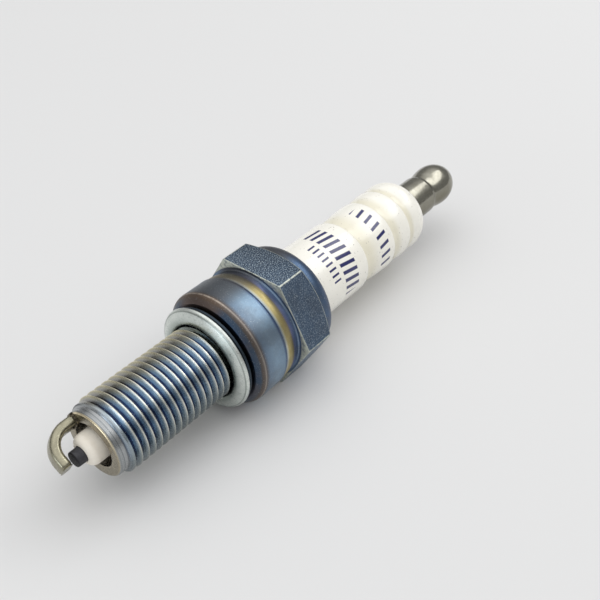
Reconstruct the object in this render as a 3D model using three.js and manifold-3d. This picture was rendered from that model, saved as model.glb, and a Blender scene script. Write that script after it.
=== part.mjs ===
// A short-hex resistor spark plug with an M10 x 1 thread, 19 mm reach and a 16 mm hexagon.
// Millimetres, +Z up. The plug lies on one flat of its hexagon, its axis along X:
// the firing end points to -X and the terminal to +X.
// Along the axis every station is measured from the shell's end face, where the strap is welded.
import * as THREE from "three";
import { mergeVertices } from "three/addons/utils/BufferGeometryUtils.js";
import Module from "manifold-3d";

const wasm = await Module();
wasm.setup();

// ---------- driving dimensions ----------
const HEX_AF = 16.0; // across the flats of the hexagon
const PITCH = 1.0; // thread pitch
const CREST_R = 4.95; // radius of the thread crests
const ROOT_R = 4.36; // radius of the thread roots and of the plain shank
const CREST_LAND = 0.16; // width of the flat on a crest
const FLANK = Math.PI / 6; // half of the 60 degree thread angle
const REACH = 19.0; // shell end face to gasket seat
const COLLAR_R = 7.95; // barrel between gasket seat and hexagon
const COLLAR_END = 23.75;
const HEX_FRONT = 26.5;
const HEX_BACK = 31.5;
const HEX_CHAMFER = Math.PI / 6; // rear chamfer, from the plane across the axis
const LIP_END = 34.15; // end of the lip crimped over the insulator
const LIP_BEND = 2.15; // outer radius of that bend
const NOSE_BORE_R = 2.93; // bore round the insulator nose
const BODY_BORE_R = 3.75; // bore behind the inner ledge
const REAR_BORE_R = 6.4; // bore under the hexagon
const STRAP_WIDTH = 2.0;
const STRAP_THICKNESS = 1.15;
const STRAP_FRONT = -4.6; // outermost face of the strap
const STRAP_BEND = 3.3; // outer bend radius
const STRAP_LEG_R = 3.55; // middle of the strap's leg, out from the axis
const STRAP_PAST_AXIS = 0.42; // how far the strap's end passes the axis
const STRAP_AZIMUTH = THREE.MathUtils.degToRad(31.4); // leg direction, from +Y towards +Z
const SPARK_GAP = 0.7;
const ROD_R = 1.0; // centre electrode
const NOSE_TIP = -1.6; // front end of the insulator
const NOSE_R = 2.0;
const INSULATOR_R = 5.38; // glazed outer cylinder
const INSULATOR_END = 60.2;
const CHANNEL_R = 1.9; // bore of the insulator above the electrode head
const RIB_RIMS = [44.6, 51.2, 55.2]; // each rib ends in a rim and steps down behind it
const RIB_STEP = 0.34;
const STUD_THREAD_R = 1.93; // M4 thread of the terminal stud
const NUT_START = 60.9;
const NUT_R = 3.175;
const NUT_NECK_R = 3.07;
const NUT_GROOVE_R = 2.57;
const NUT_TIP = 73.4;
const GASKET_FRONT = 17.0;
const GASKET_BACK = 18.7;
const GASKET_R = 7.1;

const SEGMENTS = 30; // facets round every turned piece
const CORE_SEGMENTS = 20; // facets of the small sealed pieces
const MIDDLE = (STRAP_FRONT + NUT_TIP) / 2; // station halfway along the plug
const STEEL_BLUE = 0x53626e;

// ---------- helpers ----------
// A turned solid. The profile is a list of [station, radius]; it starts and ends on the axis,
// or it is closed when the piece is a ring.
function turned(profile, segments = SEGMENTS) {
  const points = profile.map(([station, radius]) => new THREE.Vector2(radius, station));
  const geometry = new THREE.LatheGeometry(points, segments);
  geometry.rotateZ(-Math.PI / 2); // the lathe's own axis is Y; the plug's is X
  return geometry;
}

function ring(profile, segments = SEGMENTS) {
  return turned([...profile, profile[0]], segments);
}

// A quarter of an ellipse from [s0, r0] to [s1, r1]; it leaves along the axis and arrives across it,
// or the other way round when startAcross is true.
function quarter([s0, r0], [s1, r1], steps, startAcross = false) {
  const points = [];
  for (let i = 0; i <= steps; i++) {
    const a = ((Math.PI / 2) * i) / steps;
    const along = startAcross ? 1 - Math.cos(a) : Math.sin(a);
    const across = startAcross ? Math.sin(a) : 1 - Math.cos(a);
    points.push([s0 + (s1 - s0) * along, r0 + (r1 - r0) * across]);
  }
  return points;
}

function toSolid(geometry) {
  const bare = geometry.clone();
  bare.deleteAttribute("normal");
  bare.deleteAttribute("uv");
  const merged = mergeVertices(bare, 1e-4);
  return new wasm.Manifold(
    new wasm.Mesh({
      numProp: 3,
      vertProperties: new Float32Array(merged.attributes.position.array),
      triVerts: new Uint32Array(merged.index.array),
    }),
  );
}

function toGeometry(solid) {
  const mesh = solid.getMesh();
  const geometry = new THREE.BufferGeometry();
  geometry.setAttribute("position", new THREE.BufferAttribute(mesh.vertProperties, 3));
  geometry.setIndex(new THREE.BufferAttribute(mesh.triVerts, 1));
  return geometry;
}

// ---------- thread ----------
// One ridge of constant 60 degree section swept round the shank as a right-hand helix.
// A cone cuts its first crests off at the firing end, and it sinks into the shank by the gasket.
function threadRidge() {
  const firstStation = 0.9;
  const lastStation = 17.1;
  const phase = 0.42; // a crest stands this far past a whole station at the top of the plug
  const coneStation = 0.4; // where the cone meets the shank
  const coneSlope = 0.38;
  const sinkTurns = 0.35;
  const buried = ROOT_R - 0.11;
  const flush = ROOT_R - 0.08;
  const firstStep = Math.round(((firstStation - phase) / PITCH) * SEGMENTS);
  const lastStep = Math.round(((lastStation - phase) / PITCH) * SEGMENTS);
  const positions = [];
  const index = [];
  for (let step = firstStep; step <= lastStep; step++) {
    const angle = (step / SEGMENTS) * 2 * Math.PI;
    const middle = phase + (step / SEGMENTS) * PITCH;
    const cut = Math.min(CREST_R, flush + (middle - coneStation) * coneSlope);
    const sunk = Math.min(1, (lastStep - step) / (sinkTurns * SEGMENTS));
    const crest = flush + (cut - flush) * sunk;
    const land = CREST_LAND / 2 + (CREST_R - cut) * Math.tan(FLANK);
    const foot = Math.min(land + (crest - buried) * Math.tan(FLANK), PITCH / 2 - 0.01);
    const section = [
      [-foot, buried],
      [-land, crest],
      [land, crest],
      [foot, buried],
    ];
    for (const [offset, radius] of section)
      positions.push(middle + offset, -radius * Math.sin(angle), radius * Math.cos(angle));
  }
  const steps = lastStep - firstStep;
  for (let i = 0; i < steps; i++)
    for (let j = 0; j < 4; j++) {
      const a = i * 4 + j;
      const b = i * 4 + ((j + 1) % 4);
      index.push(a, a + 4, b, b, a + 4, b + 4);
    }
  const end = steps * 4;
  index.push(0, 1, 2, 0, 2, 3);
  index.push(end, end + 2, end + 1, end, end + 3, end + 2);
  const geometry = new THREE.BufferGeometry();
  geometry.setAttribute("position", new THREE.BufferAttribute(new Float32Array(positions), 3));
  geometry.setIndex(index);
  return geometry;
}

// ---------- shell ----------
function shellOutside() {
  const ringFront = COLLAR_END + 0.4;
  const lipStart = LIP_END - LIP_BEND;
  const lipRadius = 7.9;
  return turned([
    [0, 0],
    [0, 4.15],
    [0.12, 4.27],
    [1.3, ROOT_R],
    [REACH, ROOT_R],
    [REACH, 7.1],
    [REACH + 0.6, 7.66],
    [REACH + 0.9, 7.88],
    [REACH + 1.15, COLLAR_R],
    [COLLAR_END, COLLAR_R],
    [COLLAR_END + 0.22, 7.88],
    [ringFront, 7.7],
    [ringFront + 0.7, 7.64],
    [ringFront + 1.35, 7.7],
    [ringFront + 1.95, 7.55],
    [HEX_FRONT - 0.1, 7.6],
    [HEX_FRONT, 7.7],
    [HEX_FRONT, lipRadius],
    ...quarter([lipStart, lipRadius], [LIP_END, lipRadius - LIP_BEND], 6),
    [LIP_END, 0],
  ]);
}

function hexagon() {
  const corner = HEX_AF / Math.sqrt(3);
  const length = HEX_BACK - HEX_FRONT;
  const prism = new THREE.CylinderGeometry(corner, corner, length, 6, 1, false, Math.PI / 6);
  prism.rotateZ(-Math.PI / 2);
  prism.translate((HEX_FRONT + HEX_BACK) / 2, 0, 0);
  const outside = 9.4;
  const chamferStart = HEX_BACK - (outside - HEX_AF / 2) * Math.tan(HEX_CHAMFER);
  const chamfer = turned([
    [HEX_FRONT - 1, 0],
    [HEX_FRONT - 1, outside],
    [chamferStart, outside],
    [HEX_BACK + 0.6, HEX_AF / 2 - 0.6 / Math.tan(HEX_CHAMFER)],
    [HEX_BACK + 0.6, 0],
  ]);
  return toSolid(prism).intersect(toSolid(chamfer));
}

// The bore: gas pocket, ledge for the insulator's front shoulder, wide rear chamber,
// and the crimped lip's small mouth.
function shellBore() {
  return turned([
    [-1, 0],
    [-1, NOSE_BORE_R],
    [11.6, NOSE_BORE_R],
    [12.9, BODY_BORE_R],
    [20.9, BODY_BORE_R],
    [23.0, REAR_BORE_R],
    [33.3, REAR_BORE_R],
    [33.55, 6.15],
    [33.62, INSULATOR_R + 0.12],
    [LIP_END + 1, INSULATOR_R + 0.12],
    [LIP_END + 1, 0],
  ]);
}

function shell() {
  const blank = toSolid(shellOutside()).add(hexagon()).add(toSolid(threadRidge()));
  return toGeometry(blank.subtract(toSolid(shellBore())));
}

// ---------- ground electrode ----------
// The strap's side view: a leg along the axis, one round bend, and an arm across the axis.
function groundElectrode() {
  const outer = STRAP_LEG_R + STRAP_THICKNESS / 2;
  const bendStation = STRAP_FRONT + STRAP_BEND;
  const bendHeight = outer - STRAP_BEND;
  const inside = STRAP_BEND - STRAP_THICKNESS;
  const outline = new THREE.Shape();
  outline.moveTo(0, outer);
  outline.lineTo(bendStation, outer);
  outline.absarc(bendStation, bendHeight, STRAP_BEND, Math.PI / 2, Math.PI, false);
  outline.lineTo(STRAP_FRONT, -STRAP_PAST_AXIS);
  outline.lineTo(STRAP_FRONT + STRAP_THICKNESS, -STRAP_PAST_AXIS);
  outline.absarc(bendStation, bendHeight, inside, Math.PI, Math.PI / 2, true);
  outline.lineTo(0, outer - STRAP_THICKNESS);
  const options = { depth: STRAP_WIDTH, bevelEnabled: false, curveSegments: 16 };
  const geometry = new THREE.ExtrudeGeometry(outline, options);
  geometry.translate(0, 0, -STRAP_WIDTH / 2);
  geometry.rotateX(STRAP_AZIMUTH);
  return geometry;
}

// ---------- gasket ----------
// The folded washer's section: a narrow flat at the front that seals first, sloping back to the rim,
// a wide flat behind, and a lip inside that keeps it behind the thread.
function gasket() {
  return ring([
    [GASKET_FRONT, 5.45],
    [GASKET_FRONT, 6.0],
    [GASKET_FRONT + 0.5, 6.85],
    [GASKET_FRONT + 0.75, GASKET_R],
    [GASKET_BACK - 0.35, GASKET_R],
    [GASKET_BACK - 0.08, 6.95],
    [GASKET_BACK, 6.65],
    [GASKET_BACK, 5.2],
    [GASKET_BACK - 0.2, 4.82],
    [GASKET_BACK - 0.6, 4.72],
    [GASKET_FRONT + 0.6, 4.85],
    [GASKET_FRONT + 0.2, 5.2],
  ]);
}

// ---------- insulator ----------
// Saw-tooth ribs: the glaze swells towards each rim and steps down behind it.
function ribs() {
  const points = [];
  RIB_RIMS.forEach((rim, i) => {
    const next = RIB_RIMS[i + 1] ?? 58.0;
    points.push([rim - 0.3, INSULATOR_R - 0.01]);
    points.push([rim, INSULATOR_R - 0.08]);
    points.push([rim + 0.5, INSULATOR_R - RIB_STEP]);
    points.push([rim + 1.2, INSULATOR_R - RIB_STEP]);
    points.push([(rim + next) / 2 + 0.5, INSULATOR_R - 0.06]);
  });
  return points;
}

function insulator() {
  const noseBall = NOSE_R - ROD_R - 0.05;
  return ring([
    [NOSE_TIP, ROD_R + 0.05],
    ...quarter([NOSE_TIP, ROD_R + 0.05], [NOSE_TIP + noseBall, NOSE_R], 5, true).slice(1),
    [0.5, NOSE_R],
    [11.4, 2.5],
    [12.2, 2.62],
    [13.6, 3.48],
    [14.0, 3.6],
    [21.2, 3.6],
    [23.2, 6.05],
    [23.6, 6.2],
    [28.2, 6.2],
    [28.5, 6.05],
    [29.2, INSULATOR_R],
    ...ribs(),
    ...quarter([57.7, INSULATOR_R], [INSULATOR_END, 3.4], 6),
    [INSULATOR_END, CHANNEL_R],
    [10.65, CHANNEL_R],
    [10.2, ROD_R + 0.05],
  ]);
}

// ---------- packing between shell and insulator ----------
function seatWasher() {
  return ring(
    [
      [12.2, 2.74],
      [12.2, 3.18],
      [12.95, 3.6],
      [12.95, 3.2],
    ],
    CORE_SEGMENTS,
  );
}

function packingRing(station) {
  const middle = (INSULATOR_R + REAR_BORE_R) / 2 + 0.04;
  const wire = 0.42;
  const points = [];
  for (let i = 0; i < 8; i++) {
    const a = (i / 8) * 2 * Math.PI;
    points.push([station - wire * Math.sin(a), middle + wire * Math.cos(a)]);
  }
  return ring(points.reverse(), CORE_SEGMENTS);
}

function talcFill() {
  return ring(
    [
      [29.8, INSULATOR_R + 0.12],
      [29.8, REAR_BORE_R - 0.05],
      [32.5, REAR_BORE_R - 0.05],
      [32.5, INSULATOR_R + 0.12],
    ],
    CORE_SEGMENTS,
  );
}

// ---------- conductor from the firing end to the terminal ----------
function rodTip() {
  return turned([
    [STRAP_FRONT + STRAP_THICKNESS + SPARK_GAP, 0],
    ...quarter(
      [STRAP_FRONT + STRAP_THICKNESS + SPARK_GAP, ROD_R - 0.1],
      [STRAP_FRONT + STRAP_THICKNESS + SPARK_GAP + 0.1, ROD_R],
      3,
      true,
    ),
    [9.0, ROD_R],
    [9.0, 0],
  ]);
}

function electrodeHead() {
  return turned(
    [
      [9.02, 0],
      [9.02, 0.98],
      [10.3, 0.98],
      [10.7, 1.6],
      [10.9, 1.8],
      [12.1, 1.8],
      [12.3, 1.2],
      [12.6, 1.0],
      [12.6, 0],
    ],
    CORE_SEGMENTS,
  );
}

function plugOfChannel(from, to) {
  return turned(
    [
      [from, 0],
      [from, CHANNEL_R - 0.03],
      [to, CHANNEL_R - 0.03],
      [to, 0],
    ],
    CORE_SEGMENTS,
  );
}

// The upper seal is a cup that holds the stud's knurled end.
function upperGlassSeal() {
  return turned(
    [
      [25.02, 0],
      [25.02, CHANNEL_R - 0.03],
      [29.5, CHANNEL_R - 0.03],
      [29.5, 1.38],
      [27.0, 1.38],
      [27.0, 0],
    ],
    CORE_SEGMENTS,
  );
}

function terminalStud() {
  return turned([
    [27.05, 0],
    [27.05, 1.32],
    [29.8, 1.32],
    [30.2, 1.7],
    [INSULATOR_END + 0.05, 1.7],
    [INSULATOR_END + 0.05, 2.6],
    [NUT_START - 0.05, 2.6],
    [NUT_START - 0.05, 1.7],
    [NUT_START + 0.2, STUD_THREAD_R],
    [69.4, STUD_THREAD_R],
    [69.8, 1.55],
    [69.8, 0],
  ]);
}

function terminalNut() {
  const headStart = 69.45;
  return turned([
    [70.3, 0],
    [69.95, 2.0],
    [NUT_START, 2.0],
    [NUT_START, 2.85],
    [NUT_START + 0.2, NUT_NECK_R],
    [65.8, NUT_NECK_R],
    [66.45, NUT_GROOVE_R],
    [66.8, NUT_GROOVE_R],
    [67.6, 2.78],
    [68.7, 3.1],
    [headStart, NUT_R],
    ...quarter([headStart, NUT_R], [NUT_TIP, 0], 9).slice(1),
  ]);
}

// ---------- assembly ----------
const plug = new THREE.Group();
plug.position.set(-MIDDLE, 0, HEX_AF / 2);

function add(name, geometry, color, roughness, metalness) {
  const material = new THREE.MeshStandardMaterial({ color, roughness, metalness });
  const mesh = new THREE.Mesh(geometry, material);
  mesh.name = name;
  plug.add(mesh);
}

add("shell", shell(), STEEL_BLUE, 0.42, 0.9);
add("ground_electrode", groundElectrode(), 0x9a9070, 0.4, 0.9);
add("gasket", gasket(), 0xb9c2bc, 0.45, 0.85);
add("insulator", insulator(), 0xefece2, 0.15, 0);
add("seat_washer", seatWasher(), 0xa8a49c, 0.5, 0.8);
add("lower_packing_ring", packingRing(29.3), 0xa8a49c, 0.5, 0.8);
add("talc_fill", talcFill(), 0xd8d6cf, 0.95, 0);
add("upper_packing_ring", packingRing(32.98), 0xa8a49c, 0.5, 0.8);
add("centre_electrode", rodTip(), 0x3a3b3d, 0.6, 0.7);
add("electrode_head", electrodeHead(), 0x8c8f90, 0.45, 0.9);
add("lower_glass_seal", plugOfChannel(12.7, 16.0), 0x3b3229, 0.3, 0.3);
add("resistor", plugOfChannel(16.02, 25.0), 0x26262a, 0.6, 0);
add("upper_glass_seal", upperGlassSeal(), 0x3b3229, 0.3, 0.3);
add("terminal_stud", terminalStud(), 0x9a9a94, 0.4, 0.95);
add("terminal_nut", terminalNut(), 0xa3a496, 0.28, 1);

const root = new THREE.Group();
root.add(plug);
export default root;
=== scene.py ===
"""A spark plug lying on one flat of its hexagon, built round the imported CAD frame.

Blender works in metres. Sizes here are millimetres, and stations run along the plug's axis from the
shell's end face: negative towards the spark gap, positive towards the terminal. Angles run round the
axis in degrees, from the top of the plug towards the viewer's side, -Y.
"""

import math

import bmesh
import bpy
from mathutils import Matrix, Vector, noise


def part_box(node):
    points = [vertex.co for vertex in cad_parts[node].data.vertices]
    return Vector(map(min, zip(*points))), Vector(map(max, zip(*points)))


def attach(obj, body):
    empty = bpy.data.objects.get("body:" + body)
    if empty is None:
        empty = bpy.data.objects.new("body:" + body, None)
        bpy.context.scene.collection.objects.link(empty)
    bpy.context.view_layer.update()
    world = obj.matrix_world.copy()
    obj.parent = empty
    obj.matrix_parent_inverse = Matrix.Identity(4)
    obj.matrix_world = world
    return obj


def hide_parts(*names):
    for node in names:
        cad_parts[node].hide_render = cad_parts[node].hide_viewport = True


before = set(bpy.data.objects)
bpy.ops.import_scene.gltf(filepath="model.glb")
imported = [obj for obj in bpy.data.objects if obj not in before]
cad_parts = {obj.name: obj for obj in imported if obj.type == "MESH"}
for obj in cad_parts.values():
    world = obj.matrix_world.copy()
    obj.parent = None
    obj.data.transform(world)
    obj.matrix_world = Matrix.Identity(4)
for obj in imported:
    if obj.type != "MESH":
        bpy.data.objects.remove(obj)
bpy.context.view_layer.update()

# ---------- the frame's places ----------
MM = 0.001
SHELL_LOW, SHELL_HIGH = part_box("shell")
INSULATOR_LOW, INSULATOR_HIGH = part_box("insulator")
END_FACE_X = SHELL_LOW.x
AXIS_Y = (INSULATOR_LOW.y + INSULATOR_HIGH.y) / 2
AXIS_Z = (SHELL_LOW.z + SHELL_HIGH.z) / 2


def station_of(x):
    return (x - END_FACE_X) / MM


LIP_END = station_of(SHELL_HIGH.x)
NOSE_TIP = station_of(INSULATOR_LOW.x)
INSULATOR_END = station_of(INSULATOR_HIGH.x)
STRAP_FRONT = station_of(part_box("ground_electrode")[0].x)
ROD_TIP = station_of(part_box("centre_electrode")[0].x)
ROD_END = station_of(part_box("centre_electrode")[1].x)
GASKET_FRONT = station_of(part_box("gasket")[0].x)
GASKET_BACK = station_of(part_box("gasket")[1].x)
STUD_FRONT = station_of(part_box("terminal_stud")[0].x)
STUD_END = station_of(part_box("terminal_stud")[1].x)
NUT_START = station_of(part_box("terminal_nut")[0].x)
NUT_TIP = station_of(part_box("terminal_nut")[1].x)

# ---------- driving sizes, in millimetres ----------
HEX_INRADIUS = 8.0
HEX_FRONT = 26.5
HEX_BACK = 31.5
HEX_EDGE = 0.25  # radius of the hexagon's six long edges
CHAMFER_SLOPE = math.tan(math.radians(30))  # rear chamfer, from the plane across the axis

PITCH = 1.0
CREST_R = 4.95
ROOT_R = 4.36
CREST_LAND = 0.06  # half of a crest's flat
FLANK_SLOPE = math.tan(math.radians(30))  # a ridge's flanks, from the plane across the axis
THREAD_PHASE = 0.42  # the ridge's station at the top of the plug, less a whole number of turns
THREAD_FIRST = 0.9
THREAD_LAST = 17.55
THREAD_TURNS = 17
THREAD_SINK = 0.3  # length over which the last ridge sinks into the shank
CONE_STATION = 0.4
CONE_R = 4.36  # radius there of the cone that cuts off the first crests
CONE_SLOPE = 0.38

REACH = 19.0  # from the shell's end face to the collar
COLLAR_R = 7.95
COLLAR_END = 23.75
LIP_R = 7.9
LIP_BEND = 2.15  # outer radius of the bend of the lip crimped over the insulator
NOSE_BORE_R = 2.93  # bore round the insulator's nose
BODY_BORE_R = 3.75  # bore behind the inner ledge
REAR_BORE_R = 6.4  # bore under the hexagon

INSULATOR_R = 5.38
NOSE_R = 2.0
CHANNEL_R = 1.9  # bore of the insulator behind the centre electrode
RIB_RIMS = (44.6, 51.2, 55.2)  # each rib ends in a rim and steps down behind it
RIB_STEP = 0.34
RIBS_END = 58.0
ROD_R = 1.0

STRAP_WIDTH = 2.25
STRAP_THICKNESS = 1.28
STRAP_BEND = 3.3  # outer radius of the bend
STRAP_LEG_R = 3.485  # middle of the leg, out from the axis
STRAP_PAST_AXIS = 0.42  # how far the strap's end passes the axis
STRAP_ANGLE = math.radians(31.4)  # the leg's direction, from +Y towards +Z

STUD_FOOT_R = 1.32  # lower end, in the glass; its knurl is left plain
STUD_SHANK_R = 1.7
STUD_FLANGE_R = 2.6
STUD_R = 1.93
STUD_ROOT_R = 1.56
STUD_PITCH = 0.7
STUD_TURNS = 11
NUT_R = 3.175
NUT_NECK_R = 3.02
NUT_GROOVE_R = 2.76
NUT_DOME = 3.95  # length of the dome, from its widest place to the tip
NUT_BORE_R = 2.0

# Rows of printed strokes: first and last station, first and last angle, spacing in degrees,
# the stroke's share of it, and slant in degrees to the millimetre.
MARK_ROWS = (
    (39.4, 42.4, -24, 100, 12.0, 0.46, -1.6),
    (37.3, 38.8, 2, 68, 9.0, 0.36, 0.0),
    (47.9, 50.0, -8, 102, 15.5, 0.34, 1.8),
)

# ---------- camera and studio ----------
CAMERA_AT = Vector((-0.06819, -0.05671, 0.07828))
CAMERA_FORWARD = Vector((0.604, 0.490, -0.628))
CAMERA_UP = Vector((0.492, 0.391, 0.778))
CAMERA_LENS = 50.59
CAMERA_SENSOR = 36.0
SKY = ((0.0, 0.33), (0.42, 0.36), (0.78, 1.2), (1.0, 1.6))  # sine of the elevation, brightness
FLOOR_HALF = 8.0  # half the floor's side, in metres
FLOOR_DROP = 0.00002  # how far the floor lies under the hexagon's flat, so that they don't share a plane


# ---------- outlines ----------
def arc(start, end, steps, across_first=False):
    """A quarter of an ellipse between two (station, radius) points."""
    points = []
    for i in range(steps + 1):
        a = math.pi / 2 * i / steps
        along = 1 - math.cos(a) if across_first else math.sin(a)
        across = math.sin(a) if across_first else 1 - math.cos(a)
        points.append((start[0] + (end[0] - start[0]) * along, start[1] + (end[1] - start[1]) * across))
    return points


def soften(points, radius=0.08, steps=3, closed=False):
    """The same outline with its corners rounded by short curves."""
    count = len(points)
    out = []
    for i, point in enumerate(points):
        if not closed and i in (0, count - 1):
            out.append(point)
            continue
        p = Vector(point)
        before = Vector(points[i - 1]) - p
        after = Vector(points[(i + 1) % count]) - p
        turn = math.pi - before.angle(after)
        if turn < math.radians(14):
            out.append(point)
            continue
        reach = min(radius, before.length * 0.45, after.length * 0.45)
        a = p + before.normalized() * reach
        b = p + after.normalized() * reach
        for k in range(steps + 1):
            t = k / steps
            q = a * (1 - t) ** 2 + p * 2 * t * (1 - t) + b * t**2
            out.append((q.x, q.y))
    return out


# ---------- mesh helpers ----------
def on_plug(station, angle, radius):
    """A place on the plug, in metres."""
    a = math.radians(angle)
    return Vector((
        END_FACE_X + station * MM,
        AXIS_Y - radius * MM * math.sin(a),
        AXIS_Z + radius * MM * math.cos(a),
    ))


def even_angles(count):
    """Angles of count columns, evenly spaced."""
    return [360 * i / count for i in range(count)]


def ring(bm, angles, station, radius):
    return [bm.verts.new(on_plug(station, a, radius)) for a in angles]


def bridge(bm, first, second):
    """Faces between two rings; either may be a single vertex on the axis."""
    count = max(len(first), len(second))
    for i in range(count):
        j = (i + 1) % count
        corners = [
            first[i % len(first)], first[j % len(first)],
            second[j % len(second)], second[i % len(second)],
        ]
        bm.faces.new(dict.fromkeys(corners))


def rings(bm, angles, outline):
    """One ring for each point of the outline; a point on the axis is one vertex."""
    made = []
    for station, radius in outline:
        if radius < 1e-6:
            made.append([bm.verts.new(on_plug(station, 0, 0))])
        else:
            made.append(ring(bm, angles, station, radius))
    return made


def join(bm, made, closed=False):
    """Faces between each ring and the next, and round to the first ring if it is closed."""
    for first, second in zip(made, made[1:]):
        bridge(bm, first, second)
    if closed:
        bridge(bm, made[-1], made[0])


def finish_mesh(name, bm, sharp=34):
    """Turns bm into an object whose faces are smooth, apart from edges sharper than the angle given."""
    bmesh.ops.recalc_face_normals(bm, faces=bm.faces)
    limit = math.radians(sharp)
    for face in bm.faces:
        face.smooth = True
    for edge in bm.edges:
        edge.smooth = len(edge.link_faces) == 2 and edge.calc_face_angle(0) < limit
    mesh = bpy.data.meshes.new(name)
    bm.to_mesh(mesh)
    bm.free()
    piece = bpy.data.objects.new(name, mesh)
    bpy.context.scene.collection.objects.link(piece)
    return piece


def turned(name, outline, segments=128, closed=False):
    bm = bmesh.new()
    join(bm, rings(bm, even_angles(segments), outline), closed)
    return finish_mesh(name, bm)


def thread(bm, angles, seam, first_station, pitch, turns, section, front, back):
    """Joins the rings front and back by a screw surface.

    section(turn) gives the ridge's outline after that many turns, as (offset along the axis, radius).
    The seam is the column where the ridge starts. Beside it, one face at each end closes the surface."""
    count = len(angles)
    steps = len(section(0)) - 1
    made = {}

    def vertex(row, column):
        if column == count:
            return vertex(row + steps, 0)
        if (row, column) not in made:
            angle = angles[(seam + column) % count]
            travelled = (angle - angles[seam]) % 360 / 360 + row // steps
            offset, radius = section(travelled)[row % steps]
            station = first_station + travelled * pitch + offset
            made[row, column] = bm.verts.new(on_plug(station, angle, radius))
        return made[row, column]

    rows = turns * steps
    for row in range(rows):
        for column in range(count):
            bm.faces.new([
                vertex(row, column), vertex(row, column + 1),
                vertex(row + 1, column + 1), vertex(row + 1, column),
            ])
    front = front[seam:] + front[:seam]
    back = back[seam:] + back[:seam]
    for column in range(count - 1):
        bm.faces.new([front[column], front[column + 1], vertex(0, column + 1), vertex(0, column)])
    start_edge = [vertex(row, 0) for row in range(steps + 1)]
    bm.faces.new([front[-1], front[0], *start_edge, vertex(0, count - 1)])
    for column in range(1, count):
        after = (column + 1) % count
        bm.faces.new([vertex(rows, column), vertex(rows, column + 1), back[after], back[column]])
    end_edge = [vertex(row, 0) for row in range(rows + steps, rows, -1)]
    bm.faces.new([vertex(rows, 0), vertex(rows, 1), back[1], back[0], *end_edge])


def ridge(crest, root, land, pitch):
    """A 60 degree ridge's outline across one pitch, with its corners eased."""
    rise = crest - root
    foot = land + max(rise, 0.0) * FLANK_SLOPE
    foot = min(foot, pitch / 2 - 0.03)
    half = [
        (pitch / 2, root),
        (foot + 0.025, root + rise * 0.004),
        (foot - 0.01, root + rise * 0.055),
        ((foot + land) / 2, root + rise * 0.5),
        (land + 0.02, crest - rise * 0.07),
        (land * 0.72, crest - rise * 0.004),
    ]
    return [(-x, r) for x, r in half] + [(0.0, crest)] + [(x, r) for x, r in reversed(half)]


# ---------- shell ----------
def hexagon_radius(angle):
    """Distance from the axis to the hexagon's outline, whose long edges are rounded."""
    off_corner = abs((angle - 30) % 60)
    off_corner = math.radians(min(off_corner, 60 - off_corner))
    flat = HEX_INRADIUS / math.cos(math.radians(30) - off_corner)
    centre = (HEX_INRADIUS - HEX_EDGE) / math.cos(math.radians(30))
    tangent = math.atan2(HEX_EDGE / 2, centre + HEX_EDGE * math.cos(math.radians(30)))
    if off_corner > tangent:
        return flat
    return centre * math.cos(off_corner) + math.sqrt(HEX_EDGE**2 - (centre * math.sin(off_corner)) ** 2)


def shell_angles():
    """Even columns, graded closer where they turn each long edge of the hexagon."""
    steps = [0.4, 0.79, 1.3, 2.1, 3.4, *(5.0 + 2.5 * i for i in range(10))]
    angles = []
    for edge in range(30, 360, 60):
        angles += [edge - step for step in steps]
        angles += [edge + step for step in steps]
        angles += [edge, (edge + 30) % 360]
    return sorted(angles)


def shell_front():
    """From the mouth of the crimped lip, through the bore, round the end face to the thread."""
    return soften([
        (LIP_END - 0.2, INSULATOR_R + 0.1),
        (33.62, INSULATOR_R + 0.12),
        (33.55, 6.15),
        (33.3, REAR_BORE_R),
        (23.0, REAR_BORE_R),
        (20.9, BODY_BORE_R),
        (12.9, BODY_BORE_R),
        (11.6, NOSE_BORE_R),
        (0.0, NOSE_BORE_R),
        (0.0, 4.12),
        (0.1, 4.24),
        (0.3, ROOT_R),
        (0.36, ROOT_R),
    ], 0.12, 4)


def collar():
    """From the thread's relief over the barrel to the foot of the hexagon."""
    return soften([
        (18.5, ROOT_R),
        (REACH, ROOT_R),
        (REACH, 7.05),
        (REACH + 0.55, 7.62),
        (REACH + 0.82, 7.86),
        (REACH + 1.12, COLLAR_R),
        (COLLAR_END, COLLAR_R),
        (COLLAR_END + 0.2, 7.84),
        (COLLAR_END + 0.3, 7.7),
        (COLLAR_END + 0.42, 7.69),
        (COLLAR_END + 0.65, 7.77),
        (COLLAR_END + 1.0, 7.8),
        (COLLAR_END + 1.35, 7.77),
        (COLLAR_END + 1.75, 7.64),
        (COLLAR_END + 2.25, 7.57),
        (HEX_FRONT - 0.12, 7.57),
        (HEX_FRONT, 7.7),
    ], 0.1, 3)


def lip():
    """From the hexagon's rear chamfer over the crimped lip to its mouth."""
    start = LIP_END - LIP_BEND
    bend = arc((start, LIP_R), (LIP_END, LIP_R - LIP_BEND), 14)
    return [
        (HEX_BACK + 0.2, LIP_R),
        *bend,
        (LIP_END, INSULATOR_R + 0.22),
        (LIP_END - 0.06, INSULATOR_R + 0.13),
    ]


def hexagon_side(angle):
    """Across the front face, along the flat and down the rear chamfer, at one angle."""
    outside = hexagon_radius(angle)
    chamfer = HEX_BACK - (outside - HEX_INRADIUS) * CHAMFER_SLOPE
    return [
        (HEX_FRONT, outside - 0.11),
        (HEX_FRONT + 0.03, outside - 0.035),
        (HEX_FRONT + 0.1, outside),
        (chamfer - 0.07, outside),
        (chamfer + 0.01, outside - 0.03),
        (chamfer + 0.04, outside - 0.09),
        (HEX_BACK + 0.04, LIP_R + 0.03),
    ]


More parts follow.
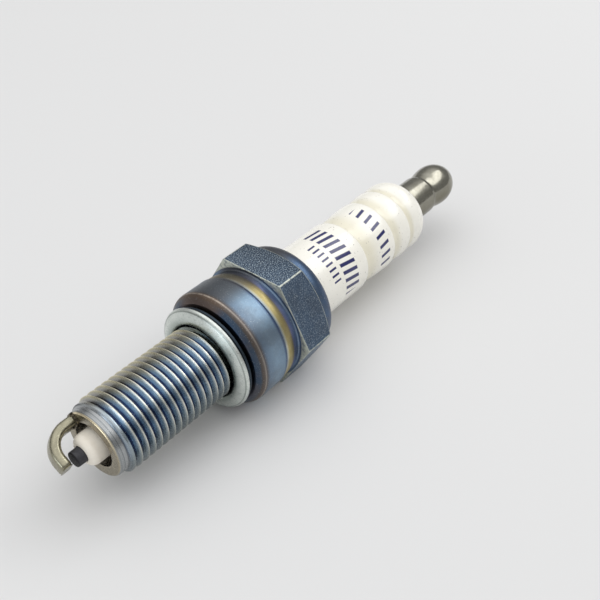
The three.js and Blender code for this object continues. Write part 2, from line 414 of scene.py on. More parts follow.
def build_shell():
    """The steel body: bore and end face, collar, hexagon and lip, with the thread between."""
    bm = bmesh.new()
    angles = shell_angles()
    front = rings(bm, angles, shell_front())
    rear = rings(bm, angles, collar())
    sides = [hexagon_side(a) for a in angles]
    for row in zip(*sides):
        rear.append([bm.verts.new(on_plug(place[0], a, place[1])) for a, place in zip(angles, row)])
    rear += rings(bm, angles, lip())
    join(bm, front)
    join(bm, rear)
    bridge(bm, rear[-1], front[0])

    # The thread's seam is the column nearest to where its first ridge starts.
    start_angle = (THREAD_FIRST - THREAD_PHASE) / PITCH * 360
    seam = min(range(len(angles)), key=lambda i: abs(angles[i] - start_angle))
    first = THREAD_PHASE + angles[seam] / 360 * PITCH

    def section(turn):
        """The full ridge, cut off by the cone at the firing end, and sinking at the other."""
        station = first + turn * PITCH
        cone = CONE_R + (station - CONE_STATION) * CONE_SLOPE
        sunk = ROOT_R + (CREST_R - ROOT_R) * (THREAD_LAST - station) / THREAD_SINK
        crest = max(ROOT_R, min(CREST_R, cone, sunk))
        cut_off = CREST_R - min(CREST_R, max(cone, ROOT_R))
        return ridge(crest, ROOT_R, CREST_LAND + cut_off * FLANK_SLOPE, PITCH)

    thread(bm, angles, seam, first, PITCH, THREAD_TURNS, section, front[-1], rear[0])
    return finish_mesh("shell_body", bm)


# ---------- ground electrode ----------
def strap_place(station, height, across):
    """A place on the strap: height out from the axis along the leg, across its width."""
    direction = Vector((0, math.cos(STRAP_ANGLE), math.sin(STRAP_ANGLE)))
    side = Vector((0, -math.sin(STRAP_ANGLE), math.cos(STRAP_ANGLE)))
    axis = Vector((END_FACE_X + station * MM, AXIS_Y, AXIS_Z))
    return axis + (direction * height + side * across) * MM


def strap_path(steps=22):
    """The strap's middle, along the leg, round the bend and down the arm.

    Each place is (station, height, tilt, share of the full section)."""
    middle = STRAP_BEND - STRAP_THICKNESS / 2
    bend_station = STRAP_FRONT + STRAP_BEND
    bend_height = STRAP_LEG_R + STRAP_THICKNESS / 2 - STRAP_BEND
    path = [(station, STRAP_LEG_R, 0.0, 1.0) for station in (0.12, 0.0, -0.25, -0.6, -1.0)]
    for i in range(steps + 1):
        a = math.pi / 2 * i / steps
        path.append((bend_station - middle * math.sin(a), bend_height + middle * math.cos(a), a, 1.0))
    # The arm narrows beside its end and widens again at the cut.
    arm = STRAP_FRONT + STRAP_THICKNESS / 2
    for height in (0.5, 0.2, -0.1):
        path.append((arm, height, math.pi / 2, 1.0))
    for inset, share in ((0.14, 0.86), (0.11, 0.94), (0.05, 0.985), (0.0, 1.0)):
        path.append((arm, inset - STRAP_PAST_AXIS, math.pi / 2, share))
    return path


def strap_section(corner=0.52, steps=6):
    """The strap's section as (through its thickness, across its width)."""
    points = []
    for quadrant in range(4):
        a0 = math.pi / 2 * quadrant
        sign_t = 1 if quadrant in (0, 3) else -1
        sign_w = 1 if quadrant in (0, 1) else -1
        for i in range(steps + 1):
            a = a0 + math.pi / 2 * i / steps
            t = sign_t * (STRAP_THICKNESS / 2 - corner) + corner * math.cos(a)
            w = sign_w * (STRAP_WIDTH / 2 - corner) + corner * math.sin(a)
            points.append((t, w))
    return points


def build_ground_electrode():
    """The bent strap over the electrode's tip."""
    bm = bmesh.new()
    section = strap_section()
    made = []
    for station, height, tilt, share in strap_path():
        bent = math.sin(2 * tilt)
        row = []
        for t, w in section:
            # Bending swells the strap's inner side a little and narrows the outer one.
            width = w * share * (1 - 0.035 * bent * t / (STRAP_THICKNESS / 2))
            thick = t * (1 - 0.03 * bent) * (0.5 + 0.5 * share)
            s = station - thick * math.sin(tilt)
            h = height + thick * math.cos(tilt)
            wobble = 0.008 * noise.noise(Vector((s * 1.3, h * 1.3, width * 1.3)))
            row.append(bm.verts.new(strap_place(s, h + wobble, width + wobble)))
        made.append(row)
    join(bm, made)
    bm.faces.new(made[0])
    bm.faces.new(made[-1])
    return finish_mesh("ground_strap", bm, 50)


def build_weld():
    """The uneven bead where the strap is welded to the shell's end face."""
    bm = bmesh.new()
    columns = 96
    tube = 14
    half_w = STRAP_WIDTH / 2 + 0.02
    half_t = STRAP_THICKNESS / 2 + 0.02
    shell_rim = 4.34  # the bead reaches no further out than this, along the leg's direction
    made = []
    for i in range(columns):
        a = 2 * math.pi * i / columns
        # A superellipse follows the strap's rounded section.
        c, s = math.cos(a), math.sin(a)
        r = 1 / (abs(c / half_t) ** 4 + abs(s / half_w) ** 4) ** 0.25
        lump = 0.21 + 0.1 * noise.noise(Vector((c * 2.1, s * 2.1, 4.2)))
        lump += 0.03 * noise.noise(Vector((c * 7, s * 7, 1)))
        row = []
        for k in range(tube):
            b = 2 * math.pi * k / tube
            rough = 1 + 0.25 * noise.noise(Vector((c * 5 + math.cos(b), s * 5 + math.sin(b), 9.0)))
            out = r + lump * rough * math.cos(b)
            up = lump * 1.15 * rough * math.sin(b)
            height = STRAP_LEG_R + out * c
            across = out * s
            row.append(bm.verts.new(strap_place(0.02 - up, min(height, shell_rim), across)))
        made.append(row)
    join(bm, made, closed=True)
    return finish_mesh("weld_bead", bm, 60)


# ---------- gasket ----------
def build_gasket():
    """The folded washer: a front lobe, the crease of the fold, a rear lobe and the lip inside."""
    outline = soften([
        (GASKET_FRONT + 0.02, 5.36),
        (GASKET_FRONT + 0.02, 5.75),
        (GASKET_FRONT + 0.22, 6.35),
        (GASKET_FRONT + 0.46, 6.85),
        (GASKET_FRONT + 0.62, 7.03),
        (GASKET_FRONT + 0.86, 7.09),
        (GASKET_FRONT + 0.98, 6.98),
        (GASKET_FRONT + 1.08, 6.66),
        (GASKET_FRONT + 1.18, 6.66),
        (GASKET_FRONT + 1.28, 6.8),
        (GASKET_BACK - 0.2, 6.86),
        (GASKET_BACK - 0.06, 6.76),
        (GASKET_BACK, 6.6),
        (GASKET_BACK, 5.25),
        (GASKET_BACK - 0.2, 4.84),
        (GASKET_BACK - 0.6, 4.74),
        (GASKET_FRONT + 0.75, 4.84),
        (GASKET_FRONT + 0.34, 5.06),
        (GASKET_FRONT + 0.12, 5.17),
    ], 0.12, 4, closed=True)
    return turned("sealing_gasket", outline, 160, closed=True)


# ---------- insulator ----------
def rib_outline():
    """Saw-tooth ribs: the surface swells towards each rim and steps down behind it."""
    points = []
    for rim, after in zip(RIB_RIMS, (*RIB_RIMS[1:], RIBS_END)):
        points += [
            (rim - 0.9, INSULATOR_R),
            (rim - 0.3, INSULATOR_R - 0.01),
            (rim - 0.08, INSULATOR_R - 0.035),
            (rim + 0.06, INSULATOR_R - 0.1),
            (rim + 0.16, INSULATOR_R - 0.19),
            (rim + 0.3, INSULATOR_R - RIB_STEP + 0.02),
            (rim + 0.55, INSULATOR_R - RIB_STEP),
            (rim + 1.1, INSULATOR_R - RIB_STEP + 0.02),
            ((rim + after) / 2 + 0.3, INSULATOR_R - 0.09),
        ]
    return points


def build_insulator():
    """Outside from the nose to the ribbed terminal end, then back to the nose along the bore."""
    bore = ROD_R + 0.05
    ball = NOSE_R - bore
    nose = arc((NOSE_TIP, bore), (NOSE_TIP + ball, NOSE_R), 10, True)
    tail = arc((RIBS_END - 0.3, INSULATOR_R), (INSULATOR_END, 3.4), 14)
    outline = [
        *nose,
        (0.5, NOSE_R),
        *soften([
            (0.6, 2.005), (11.4, 2.5), (12.2, 2.62), (13.6, 3.48), (14.0, 3.6), (21.2, 3.6),
            (23.2, 6.05), (23.6, 6.2), (28.2, 6.2), (28.5, 6.05),
            (29.2, INSULATOR_R), (30.0, INSULATOR_R),
        ], 0.2, 3),
        *rib_outline(),
        *tail,
        (INSULATOR_END, 1.98),
        (INSULATOR_END - 0.08, CHANNEL_R),
        (10.65, CHANNEL_R),
        (10.2, bore),
    ]
    return turned("ceramic_insulator", outline, 160, closed=True)


# ---------- conductor ----------
def build_centre_electrode():
    side = soften([
        (ROD_TIP, 0.4), (ROD_TIP, ROD_R - 0.03), (NOSE_TIP + 0.4, ROD_R), (ROD_END, ROD_R),
    ], 0.14, 5)
    return turned("centre_electrode_rod", [(ROD_TIP, 0.0), *side, (ROD_END, 0.0)], 96)


def build_stud():
    """The terminal stud: foot in the glass, shank, flange on the insulator and thread for the nut."""
    bm = bmesh.new()
    angles = even_angles(72)
    shank = soften([
        (STUD_FRONT, STUD_FOOT_R),
        (29.8, STUD_FOOT_R),
        (30.2, STUD_SHANK_R),
        (INSULATOR_END + 0.05, STUD_SHANK_R),
        (INSULATOR_END + 0.05, STUD_FLANGE_R),
        (NUT_START - 0.05, STUD_FLANGE_R),
        (NUT_START - 0.05, STUD_ROOT_R),
        (NUT_START + 0.05, STUD_ROOT_R),
        (NUT_START + 0.1, STUD_ROOT_R),
    ], 0.08, 3)
    end = soften([
        (69.45, STUD_ROOT_R), (69.5, STUD_ROOT_R), (STUD_END, STUD_ROOT_R - 0.25), (STUD_END, 0.5),
    ], 0.08)
    front = rings(bm, angles, [(STUD_FRONT, 0.0), *shank])
    back = rings(bm, angles, [*end, (STUD_END, 0.0)])
    join(bm, front)
    join(bm, back)

    def section(turn):
        """A ridge that rises at the first turn and sinks at the last."""
        height = max(0.0, min(1.0, turn / 0.4, (STUD_TURNS - turn) / 0.6))
        return ridge(STUD_ROOT_R + (STUD_R - STUD_ROOT_R) * height, STUD_ROOT_R, 0.045, STUD_PITCH)

    thread(bm, angles, 0, NUT_START + 0.46, STUD_PITCH, STUD_TURNS, section, front[-1], back[0])
    return finish_mesh("threaded_stud", bm)


def build_nut():
    """The screw-on terminal: collar, groove, flare and dome, with a threaded bore inside."""
    bm = bmesh.new()
    angles = even_angles(120)
    widest = NUT_TIP - NUT_DOME
    outside = soften([
        (NUT_START + 0.02, NUT_BORE_R + 0.12),
        (NUT_START, NUT_BORE_R + 0.2),
        (NUT_START, 2.86),
        (NUT_START + 0.2, NUT_NECK_R),
        (NUT_START + 4.75, NUT_NECK_R),
        (NUT_START + 5.2, NUT_GROOVE_R),
        (NUT_START + 5.6, NUT_GROOVE_R),
        (NUT_START + 6.5, 2.92),
        (NUT_START + 7.6, 3.12),
        (widest, NUT_R),
    ], 0.14, 4)
    dome = arc((widest, NUT_R), (NUT_TIP, 0.0), 22)[1:]
    skin = rings(bm, angles, [*outside, *dome])
    join(bm, skin)
    blind_end = rings(bm, angles, [(69.75, NUT_BORE_R), (70.0, 1.95), (70.3, 0.0)])
    mouth = ring(bm, angles, NUT_START + 0.1, NUT_BORE_R)
    bridge(bm, skin[0], mouth)
    join(bm, blind_end)

    def section(turn):
        """A groove that deepens at the first turn and runs out at the last."""
        depth = max(0.0, min(1.0, turn / 0.5, (STUD_TURNS - turn) / 0.6))
        return ridge(NUT_BORE_R + 0.28 * depth, NUT_BORE_R, 0.05, STUD_PITCH)

    thread(bm, angles, 0, NUT_START + 0.5, STUD_PITCH, STUD_TURNS, section, mouth, blind_end[0])
    return finish_mesh("terminal_cap", bm)


# ---------- material helpers ----------
def linear(code):
    """A colour written as six hex digits, as the shader's linear values."""
    channels = []
    for i in (0, 2, 4):
        c = int(code[i:i + 2], 16) / 255
        channels.append(c / 12.92 if c <= 0.04045 else ((c + 0.055) / 1.055) ** 2.4)
    return (*channels, 1.0)


def fill_ramp(ramp, stops):
    """Gives a colour ramp its (position, colour) stops. All are in place before any is coloured."""
    while len(ramp.elements) < len(stops):
        ramp.elements.new(0.5)
    for element, (position, colour) in zip(ramp.elements, stops):
        element.position = position
    for element, (position, colour) in zip(ramp.elements, stops):
        element.position = position
        element.color = colour


class Shading:
    """One material's node tree, with short calls for the nodes it uses."""

    def __init__(self, name, **fixed):
        self.material = bpy.data.materials.new(name)
        self.material.use_nodes = True
        self.tree = self.material.node_tree
        self.shader = self.tree.nodes["Principled BSDF"]
        for socket, value in fixed.items():
            self.shader.inputs[socket.replace("_", " ")].default_value = value
        # Object coordinates in millimetres: X is the station, Y and Z are measured from the axis.
        coordinates = self.tree.nodes.new("ShaderNodeTexCoord")
        mapping = self.add("ShaderNodeMapping", Vector=coordinates.outputs["Object"])
        mapping.inputs["Scale"].default_value = (1 / MM,) * 3
        mapping.inputs["Location"].default_value = (-END_FACE_X / MM, -AXIS_Y / MM, -AXIS_Z / MM)
        self.place = mapping.outputs[0]
        parts = self.add("ShaderNodeSeparateXYZ", Vector=self.place)
        self.station, self.y, self.z = parts.outputs
        squares = self.plus(self.times(self.y, self.y), self.times(self.z, self.z))
        self.radius = self.maths("SQRT", squares)

    def set(self, socket, value):
        """Links the socket to a node's output, or gives it a fixed value."""
        if isinstance(value, bpy.types.NodeSocket):
            self.tree.links.new(value, socket)
        else:
            socket.default_value = value

    def add(self, kind, settings=None, **inputs):
        """A new node, with its settings and its inputs by name."""
        made = self.tree.nodes.new(kind)
        for key, value in (settings or {}).items():
            setattr(made, key, value)
        for key, value in inputs.items():
            self.set(made.inputs[key], value)
        return made

    def maths(self, operation, first, second=0.0, clamp=False):
        made = self.add("ShaderNodeMath", {"operation": operation, "use_clamp": clamp})
        self.set(made.inputs[0], first)
        self.set(made.inputs[1], second)
        return made.outputs[0]

    def times(self, first, second):
        return self.maths("MULTIPLY", first, second)

    def plus(self, first, second):
        return self.maths("ADD", first, second)

    def span(self, value, start, end, low=0.0, high=1.0):
        """Value from start to end, as a number from low to high."""
        made = self.add("ShaderNodeMapRange", {"interpolation_type": "SMOOTHSTEP"}, Value=value)
        for key, number in (("From Min", start), ("From Max", end), ("To Min", low), ("To Max", high)):
            made.inputs[key].default_value = number
        return made.outputs[0]

    def noise(self, scale, detail=3.0, roughness=0.5, vector=None, stretch=(1, 1, 1)):
        """Grain with about scale cells to the millimetre."""
        vector = vector or self.place
        if stretch != (1, 1, 1):
            vector = self.add("ShaderNodeVectorMath", {"operation": "MULTIPLY"}, Vector=vector)
            self.set(vector.inputs[1], stretch)
            vector = vector.outputs[0]
        made = self.add("ShaderNodeTexNoise", Vector=vector)
        made.inputs["Scale"].default_value = scale
        made.inputs["Detail"].default_value = detail
        made.inputs["Roughness"].default_value = roughness
        return made.outputs["Fac"]

    def lines(self, scale, detail=2.0):
        """Fine turned lines: grain by station and radius, the same all the way round."""
        along = self.add("ShaderNodeCombineXYZ", X=self.station, Y=self.times(self.radius, 0.7))
        return self.noise(scale, detail, vector=along.outputs[0])

    def ramp(self, value, *stops):
        """Colours by value, blended between (value, colour) stops."""
        made = self.add("ShaderNodeValToRGB", Fac=value)
        fill_ramp(made.color_ramp, [(position, linear(code)) for position, code in stops])
        return made.outputs["Color"]

    def along(self, start, end, *stops):
        """Colours by station, blended between (station, colour) stops."""
        share = self.maths("DIVIDE", self.maths("SUBTRACT", self.station, start), end - start, clamp=True)
        return self.ramp(share, *[((s - start) / (end - start), code) for s, code in stops])

    def mix(self, factor, first, second):
        """The first colour where the factor is 0, the second where it is 1."""
        made = self.add("ShaderNodeMix", {"data_type": "RGBA"})
        self.set(made.inputs["Factor"], factor)
        for socket, value in ((made.inputs[6], first), (made.inputs[7], second)):
            self.set(socket, linear(value) if isinstance(value, str) else value)
        return made.outputs[2]

    def turn(self):
        """Angle round the axis in degrees, from the top towards the viewer."""
        return self.times(self.maths("ARCTAN2", self.times(self.y, -1.0), self.z), 180 / math.pi)

    def facing(self, turn, angle):
        """One along that angle, falling away round the axis to minus one opposite."""
        return self.maths("COSINE", self.times(self.maths("SUBTRACT", turn, angle), math.pi / 180))

    def band(self, value, low, rise, fall, high):
        """One between rise and fall, down to nought at low and high."""
        return self.times(self.span(value, low, rise), self.span(value, high, fall))

    def hexagon_edge(self, turn):
        """One along the hexagon's pale edges, painted as wear with a highlight: its six corners and both
        ends of its flats.
        """
        wrapped = self.maths("MODULO", self.plus(turn, 360.0), 60.0)
        off_corner = self.maths("ABSOLUTE", self.maths("SUBTRACT", wrapped, 30.0))
        corner = self.span(off_corner, 0.9, 0.4)
        front = self.band(self.station, HEX_FRONT - 0.06, HEX_FRONT, HEX_FRONT + 0.08, HEX_FRONT + 0.16)
        past_flat = self.maths("SUBTRACT", self.radius, HEX_INRADIUS)
        chamfer = self.maths("SUBTRACT", HEX_BACK, self.times(past_flat, CHAMFER_SLOPE))
        off_chamfer = self.maths("ABSOLUTE", self.maths("SUBTRACT", self.station, chamfer))
        back = self.span(off_chamfer, 0.1, 0.04)
        on_hexagon = self.span(self.station, HEX_FRONT - 0.15, HEX_FRONT - 0.08)
        outside = self.times(self.span(self.radius, 7.93, 7.99), on_hexagon)
        return self.times(self.maths("MAXIMUM", corner, self.maths("MAXIMUM", front, back)), outside)

    def colour(self, value):
        self.set(self.shader.inputs["Base Color"], value)

    def gloss(self, value):
        self.set(self.shader.inputs["Roughness"], value)

    def bump(self, height, distance, strength=1.0):
        """Height from 0 to 1, over that distance in millimetres. A second call adds to the first."""
        made = self.add("ShaderNodeBump", Height=height)
        made.inputs["Strength"].default_value = strength
        made.inputs["Distance"].default_value = distance * MM
        normal = self.shader.inputs["Normal"]
        if normal.is_linked:
            self.set(made.inputs["Normal"], normal.links[0].from_socket)
        self.set(normal, made.outputs["Normal"])


# ---------- materials ----------
def thread_tint(m, turn):
    """The thread's colours by how far out of the groove: blue, grey, and duller underneath, where the
    darkening is painted shade.
    """
    mottle = m.noise(0.9, 4, 0.6)
    height = m.maths("DIVIDE", m.maths("SUBTRACT", m.radius, ROOT_R), CREST_R - ROOT_R, clamp=True)
    uneven = m.plus(height, m.times(m.maths("SUBTRACT", mottle, 0.5), 0.1))
    # Each ramp runs from the root to the crest. The dark roots are painted shade in the grooves, and the
    # near-white crests on the blue side are a painted highlight.
    blue_side = m.ramp(
        uneven,
        (0.0, "232f4c"), (0.05, "34486e"), (0.12, "7f97b0"), (0.5, "98abbc"),
        (0.85, "9ba5aa"), (0.95, "bcbdb6"), (1.0, "dad9d0"),
    )
    grey_side = m.ramp(
        uneven,
        (0.0, "2a2622"), (0.05, "48433c"), (0.12, "888887"), (0.5, "a3a29c"),
        (0.8, "b3ae98"), (0.92, "c8c1a4"), (1.0, "d8d2b8"),
    )
    shaded_low_side = m.ramp(
        uneven,
        (0.0, "222a38"), (0.05, "38434f"), (0.12, "66727b"), (0.5, "747f85"),
        (0.85, "838b8c"), (1.0, "a3a8a4"),
    )
    # The blue is strongest along the side that faces the viewer.
    # Cream crests lie above it; below it the thread is painted darker and duller, as shade.
    blue = m.span(m.facing(turn, 42.0), 0.45, 0.95)
    blue = m.times(blue, m.span(mottle, 0.25, 0.6, 0.7, 1.0))
    below = m.band(turn, 45.0, 75.0, 150.0, 178.0)
    colour = m.mix(blue, m.mix(below, grey_side, shaded_low_side), blue_side)
    nose_band = m.ramp(m.lines(6.0), (0.36, "4c4f52"), (0.45, "8c9092"), (0.7, "a9abac"))
    colour = m.mix(m.span(m.station, 1.7, 0.95), colour, nose_band)
    relief = m.mix(m.noise(2.5, 3), "a3aaa5", "7d8581")
    return m.mix(m.span(m.station, 16.9, 17.2), colour, relief)


def barrel_tint(m, turn):
    """The heat tints from the collar to the lip: blue, a straw band at the thin ring, brown on top, where
    the top is also painted darker as shade.
    """
    # In these stops the dark navy at the collar's face beside the gasket is painted shade, and the pale
    # stop at 19.97 is a painted highlight on the lip's ridge.
    barrel = m.along(
        REACH, 35.0,
        (19.0, "37465a"), (19.45, "445160"), (19.6, "57524f"), (19.85, "69625e"), (19.97, "948e88"),
        (20.12, "605c5c"), (20.6, "6e8093"), (22.0, "8298ab"), (23.4, "7b91a5"), (23.82, "34456a"),
        (24.1, "6f86a0"), (24.28, "bcbba8"), (24.5, "a89c6e"), (24.9, "a19466"), (25.35, "948968"),
        (25.62, "757a9c"), (26.1, "677aa0"), (26.4, "6f8299"), (27.2, "62748a"), (30.0, "5a6c82"),
        (31.4, "57697f"), (32.6, "4c617e"), (33.6, "3d4e69"), (34.15, "62636a"),
    )
    dark_top_and_brown_lip = m.mix(m.span(m.station, 20.0, 20.3), "6d5d51", "595756")
    # A pale speckled line on the lip's ridge: a painted highlight.
    ridge_line = m.band(m.station, 19.84, 19.93, 20.02, 20.12)
    painted_ridge_highlight = m.times(ridge_line, m.span(m.noise(3.0, 3), 0.35, 0.6, 0.3, 1.0))
    dark_top_and_brown_lip = m.mix(painted_ridge_highlight, dark_top_and_brown_lip, "b0a496")
    # Brown at the lip and dark grey behind it, on the top and faintly in random patches: the darker top is
    # painted shade.
    painted_top_shade = m.span(m.facing(turn, -16.0), 0.8, 0.97)
    patchy = m.span(m.noise(0.22, 4, 0.6), 0.44, 0.64)
    return m.mix(m.times(m.maths("MAXIMUM", painted_top_shade, m.times(patchy, 0.4)), 0.78), barrel, dark_top_and_brown_lip)


def shell_steel():
    """Plated steel with the blue, straw and brown heat tints that closing the seal leaves on it."""
    m = Shading("shell_steel", Metallic=1.0)
    turn = m.turn()
    colour = m.mix(m.span(m.station, 18.7, 18.95), thread_tint(m, turn), barrel_tint(m, turn))
    end_face = m.mix(m.noise(2.2, 4), "ada48f", "7d776a")
    colour = m.mix(m.span(m.station, 0.12, 0.03), colour, end_face)
    # A pale arc on the end face's outer rim, brightest on top: a painted highlight.
    rim = m.times(m.span(m.station, 0.22, 0.1), m.span(m.radius, 4.05, 4.15))
    painted_rim_highlight = m.times(rim, m.span(turn, 75.0, 40.0, 0.15, 0.8))
    colour = m.mix(painted_rim_highlight, colour, "ecdcb8")
    inside = m.times(m.span(m.radius, 4.0, 3.9), m.span(m.station, 0.05, 0.35))
    colour = m.mix(inside, colour, "b4b0aa")
    speck = m.span(m.noise(8.0, 2, 0.7), 0.62, 0.74)
    colour = m.mix(m.times(speck, 0.45), colour, "d5d8da")

    # The hexagon's flats are rough from drawing, the turned parts finer.
    rough = m.span(m.radius, 7.96, 8.0)
    upper = m.span(turn, 34.0, 27.0, 0.4, 1.0)
    sparkle = m.ramp(
        m.noise(6.5, 2, 0.6),
        (0.4, "2c3848"), (0.51, "4a5b6f"), (0.59, "8c9dab"), (0.68, "ccd6db"),
    )
    colour = m.mix(m.times(m.times(rough, upper), 0.85), colour, sparkle)
    # Pale hexagon edges: wear, together with a painted highlight.
    pale_edge_wear_and_highlight = m.times(m.hexagon_edge(turn), m.span(m.noise(2.0, 3), 0.3, 0.55, 0.35, 1.0))
    m.colour(m.mix(pale_edge_wear_and_highlight, colour, "c4c8bd"))

    gloss = m.span(m.noise(5.5, 5, 0.65), 0.3, 0.75, 0.34, 0.5)
    threaded = m.span(m.station, 18.2, 17.8)
    m.gloss(m.plus(gloss, m.plus(m.times(rough, 0.04), m.times(threaded, -0.14))))
    m.bump(m.times(m.times(m.noise(4.5, 3, 0.6), rough), upper), 0.1, 0.9)
    m.bump(m.noise(7.0, 4, 0.7), 0.012, 0.5)
    m.bump(m.lines(9.0), 0.006, 0.5)
    return m.material


def strap_nickel():
    m = Shading("strap_nickel", Metallic=1.0)
    base = m.mix(m.noise(1.1, 4, 0.6), "a6a28c", "7b7768")
    burnt = m.span(m.station, -0.9, 0.2)
    colour = m.mix(m.times(burnt, 0.5), base, "46433b")
    scratch = m.span(m.noise(4.0, 2, stretch=(0.25, 2.5, 2.5)), 0.6, 0.7)
    m.colour(m.mix(m.times(scratch, 0.3), colour, "d8d5bd"))
    m.gloss(m.span(m.noise(3.0, 4), 0.3, 0.75, 0.2, 0.4))
    m.bump(m.noise(6.0, 4, 0.6), 0.01, 0.5)
    return m.material


def weld_metal():
    m = Shading("weld_metal", Metallic=1.0)
    m.colour(m.ramp(m.noise(2.6, 5, 0.6), (0.32, "1d1a17"), (0.52, "4b4439"), (0.7, "b3a88e")))
    m.gloss(m.span(m.noise(4.0, 3), 0.35, 0.7, 0.3, 0.6))
    m.bump(m.noise(5.0, 5, 0.7), 0.04, 0.8)
    return m.material


def gasket_steel():
    m = Shading("gasket_steel", Metallic=1.0)
    base = m.mix(m.noise(0.8, 4, 0.6), "e3e7e2", "c6cdc8")
    speck = m.span(m.noise(8.0, 3, 0.7), 0.56, 0.7)
    colour = m.mix(m.times(speck, 0.55), base, "848e8a")
    pits = m.span(m.noise(2.6, 5, 0.7), 0.54, 0.66)
    colour = m.mix(m.times(pits, 0.4), colour, "939d98")
    line = m.band(m.radius, 6.72, 6.8, 6.86, 6.94)
    line = m.times(line, m.span(m.station, GASKET_FRONT + 0.7, GASKET_FRONT + 0.6))
    colour = m.mix(m.times(line, 0.6), colour, "6d7772")
    # Darker green-grey towards the mouth, and dark at its edge: painted shade.
    colour = m.mix(m.span(m.radius, 6.5, 5.3, 0.0, 0.6), colour, "8b9892")
    colour = m.mix(m.span(m.radius, 5.2, 4.95), colour, "59605b")
    # Everything behind the fold's crease is dark: painted shade on the crease and the rear lobe.
    fold = m.span(m.station, GASKET_FRONT + 0.9, GASKET_FRONT + 1.02)
    m.colour(m.mix(fold, colour, "39424a"))
    m.gloss(m.span(m.noise(4.5, 4, 0.6), 0.3, 0.7, 0.26, 0.44))
    m.bump(m.noise(5.0, 4, 0.6), 0.012, 0.5)
    return m.material


def print_marks(m):
    """Rows of plain strokes printed round the insulator. They say nothing."""
    turn = m.turn()
    total = None
    for start, end, low, high, step, share, slant in MARK_ROWS:
        shifted = m.plus(turn, m.times(m.maths("SUBTRACT", m.station, start), slant))
        along = m.band(m.station, start, start + 0.12, end - 0.12, end)
        around = m.band(turn, low - 0.8, low, high, high + 0.8)
        phase = m.maths("FRACT", m.maths("DIVIDE", m.maths("SUBTRACT", shifted, low - 360.0), step))
        stroke = m.band(phase, 0.0, 0.09, share, share + 0.09)
        row = m.times(m.times(along, around), stroke)
        total = row if total is None else m.maths("MAXIMUM", total, row)
    worn = m.span(m.noise(3.2, 3, 0.6), 0.2, 0.3)
    return m.times(total, worn)


def alumina():
    """White alumina: glazed from the shell's lip to the terminal, bare and matt at the nose."""
    m = Shading("alumina", Metallic=0.0, IOR=1.6)
    glaze = m.mix(m.noise(0.35, 4, 0.6), "fbf9f1", "f3f0e5")
    # Creamier and darker in the hollows behind the rims: glaze pooled there, with painted shade.
    glaze = m.mix(m.times(m.span(m.radius, 5.3, 5.05), m.span(m.station, 57.0, 56.0)), glaze, "e9e4d0")
    speck = m.span(m.noise(4.0, 2, 0.4), 0.7, 0.73)
    glaze = m.mix(m.times(speck, 0.5), glaze, "5a534c")
    glaze = m.mix(print_marks(m), glaze, "22265f")
    bare = m.mix(m.noise(1.6, 4, 0.6), "f5efe4", "e5dccb")
    nose = m.span(m.station, 20.0, 16.0)
    m.colour(m.mix(nose, glaze, bare))
    m.gloss(m.plus(m.span(nose, 0.0, 1.0, 0.13, 0.5), m.times(m.noise(1.2, 3), 0.08)))
    m.bump(m.noise(0.5, 2, 0.4), 0.03, 0.25)
    return m.material


def electrode_dark():
    m = Shading("electrode_dark", Metallic=0.6)
    colour = m.mix(m.noise(3.0, 4, 0.6), "4c4c4f", "36363a")
    m.colour(m.mix(m.span(m.station, ROD_TIP + 0.2, ROD_TIP), colour, "2a2a2d"))
    m.gloss(m.span(m.noise(4.0, 4), 0.3, 0.7, 0.5, 0.72))
    m.bump(m.noise(6.0, 4, 0.7), 0.02, 0.5)
    m.bump(m.lines(6.0), 0.01, 0.4)
    return m.material


def terminal_nickel():
    m = Shading("terminal_nickel", Metallic=1.0)
    colour = m.mix(m.noise(0.7, 4, 0.6), "a3a197", "827f72")
    turn = m.turn()
    # The nut is painted darker and duller below the side that faces the viewer, as shade.
    painted_low_shade = m.times(m.span(turn, 62.0, 105.0, 0.0, 0.75), m.span(turn, 178.0, 160.0))
    m.colour(m.mix(painted_low_shade, colour, "6a6552"))
    m.gloss(m.span(m.noise(2.5, 4, 0.6), 0.3, 0.7, 0.12, 0.26))
    m.bump(m.lines(5.0), 0.006, 0.4)
    m.bump(m.noise(3.0, 4, 0.6), 0.008, 0.3)
    return m.material


def stud_steel():
    m = Shading("stud_steel", Metallic=1.0)
    m.colour(m.mix(m.noise(1.5, 4, 0.6), "b0aea4", "86847a"))
    m.gloss(m.span(m.noise(4.0, 3), 0.3, 0.7, 0.25, 0.42))
    m.bump(m.lines(8.0), 0.006, 0.5)
    return m.material


def hidden_metal(name, light, dark):
    m = Shading(name, Metallic=1.0)
    m.colour(m.mix(m.noise(2.0, 4, 0.6), light, dark))
    m.gloss(m.span(m.noise(5.0, 3), 0.3, 0.7, 0.35, 0.55))
    m.bump(m.lines(7.0), 0.008, 0.4)
    return m.material


def packed_powder(name, light, dark, gloss_low, gloss_high):
    m = Shading(name, Metallic=0.0)
    m.colour(m.mix(m.noise(5.0, 5, 0.7), light, dark))
    m.gloss(m.span(m.noise(6.0, 4), 0.3, 0.7, gloss_low, gloss_high))
    m.bump(m.noise(8.0, 5, 0.7), 0.03, 0.6)
    return m.material


def dress(piece, material):
    """Gives a piece its one material."""
    piece.data.materials.clear()
    piece.data.materials.append(material)


def redress(node, material):
    """Gives a CAD node that stays visible its procedural material."""
    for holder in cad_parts[node].material_slots:
        holder.material = material


# ---------- build ----------
def put_on(piece, body, slot_name, material, *nodes):
    """Dresses a piece, rides it on its body and hides the CAD nodes that it replaces."""
    dress(piece, material)
    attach(piece, body)
    if nodes:
        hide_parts(*nodes)


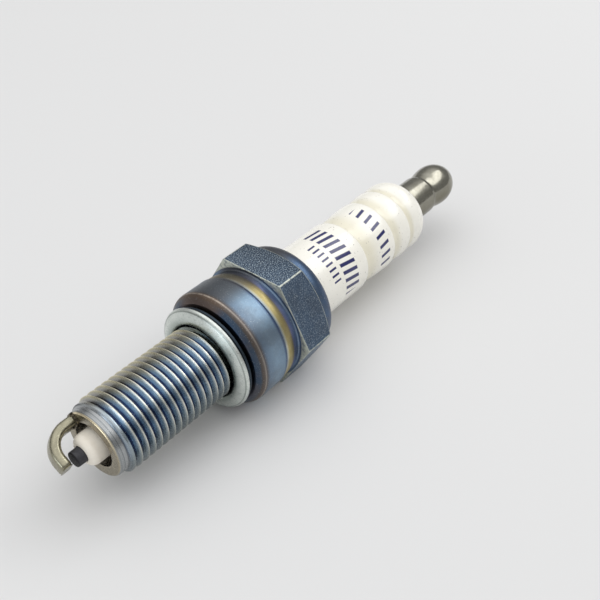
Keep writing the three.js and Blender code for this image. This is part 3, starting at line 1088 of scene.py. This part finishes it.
put_on(build_shell(), "plug", "shell_steel", shell_steel(), "shell")
put_on(build_ground_electrode(), "plug", "strap_nickel", strap_nickel(), "ground_electrode")
put_on(build_weld(), "plug", "strap_nickel", weld_metal())
put_on(build_gasket(), "gasket", "gasket_steel", gasket_steel(), "gasket")
put_on(build_insulator(), "plug", "alumina", alumina(), "insulator")
put_on(build_centre_electrode(), "plug", "electrode_dark", electrode_dark(), "centre_electrode")
put_on(build_stud(), "plug", "stud_steel", stud_steel(), "terminal_stud")
put_on(build_nut(), "terminal_nut", "terminal_nickel", terminal_nickel(), "terminal_nut")

packing = hidden_metal("packing_steel", "b3afa6", "87837a")
for inner in ("seat_washer", "lower_packing_ring", "upper_packing_ring"):
    redress(inner, packing)
redress("electrode_head", hidden_metal("head_steel", "a2a5a6", "777a7c"))
redress("talc_fill", packed_powder("talc", "dedcd4", "c4c1b7", 0.8, 0.98))
redress("resistor", packed_powder("resistor_carbon", "2c2c31", "17171a", 0.45, 0.7))
glass = packed_powder("seal_glass", "4a3d31", "2a221b", 0.22, 0.4)
for inner in ("lower_glass_seal", "upper_glass_seal"):
    redress(inner, glass)


# ---------- stage ----------
def build_floor():
    bm = bmesh.new()
    corners = ((-1, -1), (1, -1), (1, 1), (-1, 1))
    bm.faces.new([bm.verts.new((x * FLOOR_HALF, y * FLOOR_HALF, -FLOOR_DROP)) for x, y in corners])
    floor = finish_mesh("floor", bm)
    material = bpy.data.materials.new("floor_cloth")
    material.use_nodes = True
    shader = material.node_tree.nodes["Principled BSDF"]
    shader.inputs["Base Color"].default_value = linear("dadada")
    shader.inputs["Roughness"].default_value = 0.9
    dress(floor, material)


def softbox(name, place, target, width, height, power, colour=(1, 1, 1)):
    """A rectangular area light that faces its target, in metres and watts."""
    data = bpy.data.lights.new(name, "AREA")
    data.shape = "RECTANGLE"
    data.size = width
    data.size_y = height
    data.energy = power
    data.color = colour
    light = bpy.data.objects.new(name, data)
    light.location = place
    light.rotation_euler = (Vector(target) - Vector(place)).to_track_quat("-Z", "Y").to_euler()
    bpy.context.scene.collection.objects.link(light)


def build_camera():
    """The camera at the photograph's angle, as it was fitted to the thread, the collar and the hexagon."""
    data = bpy.data.cameras.new("camera")
    data.lens = CAMERA_LENS
    data.sensor_width = CAMERA_SENSOR
    data.clip_start = 0.005
    data.clip_end = 30.0
    camera = bpy.data.objects.new("camera", data)
    back = -CAMERA_FORWARD.normalized()
    right = CAMERA_UP.cross(back).normalized()
    up = back.cross(right)
    camera.matrix_world = Matrix((
        (right.x, up.x, back.x, CAMERA_AT.x),
        (right.y, up.y, back.y, CAMERA_AT.y),
        (right.z, up.z, back.z, CAMERA_AT.z),
        (0, 0, 0, 1),
    ))
    bpy.context.scene.collection.objects.link(camera)
    bpy.context.scene.camera = camera


def build_world():
    """A dim room under a bright ceiling."""
    world = bpy.data.worlds.new("studio")
    bpy.context.scene.world = world
    world.use_nodes = True
    nodes = world.node_tree.nodes
    links = world.node_tree.links
    direction = nodes.new("ShaderNodeTexCoord")
    parts = nodes.new("ShaderNodeSeparateXYZ")
    ramp = nodes.new("ShaderNodeValToRGB")
    fill_ramp(ramp.color_ramp, [(height, (grey, grey, grey, 1.0)) for height, grey in SKY])
    links.new(direction.outputs["Generated"], parts.inputs[0])
    links.new(parts.outputs["Z"], ramp.inputs["Fac"])
    links.new(ramp.outputs["Color"], nodes["Background"].inputs["Color"])
    nodes["Background"].inputs["Strength"].default_value = 1.0


build_floor()
build_camera()
build_world()
softbox("key", (0.31, -0.13, 0.355), (0, 0, 0.01), 0.40, 0.17, 0.46)
softbox("front_fill", (-0.50, 0.03, 0.10), (0, 0, 0.01), 0.30, 0.18, 0.42, (0.84, 0.92, 1.0))
bpy.context.scene.view_settings.view_transform = "Standard"
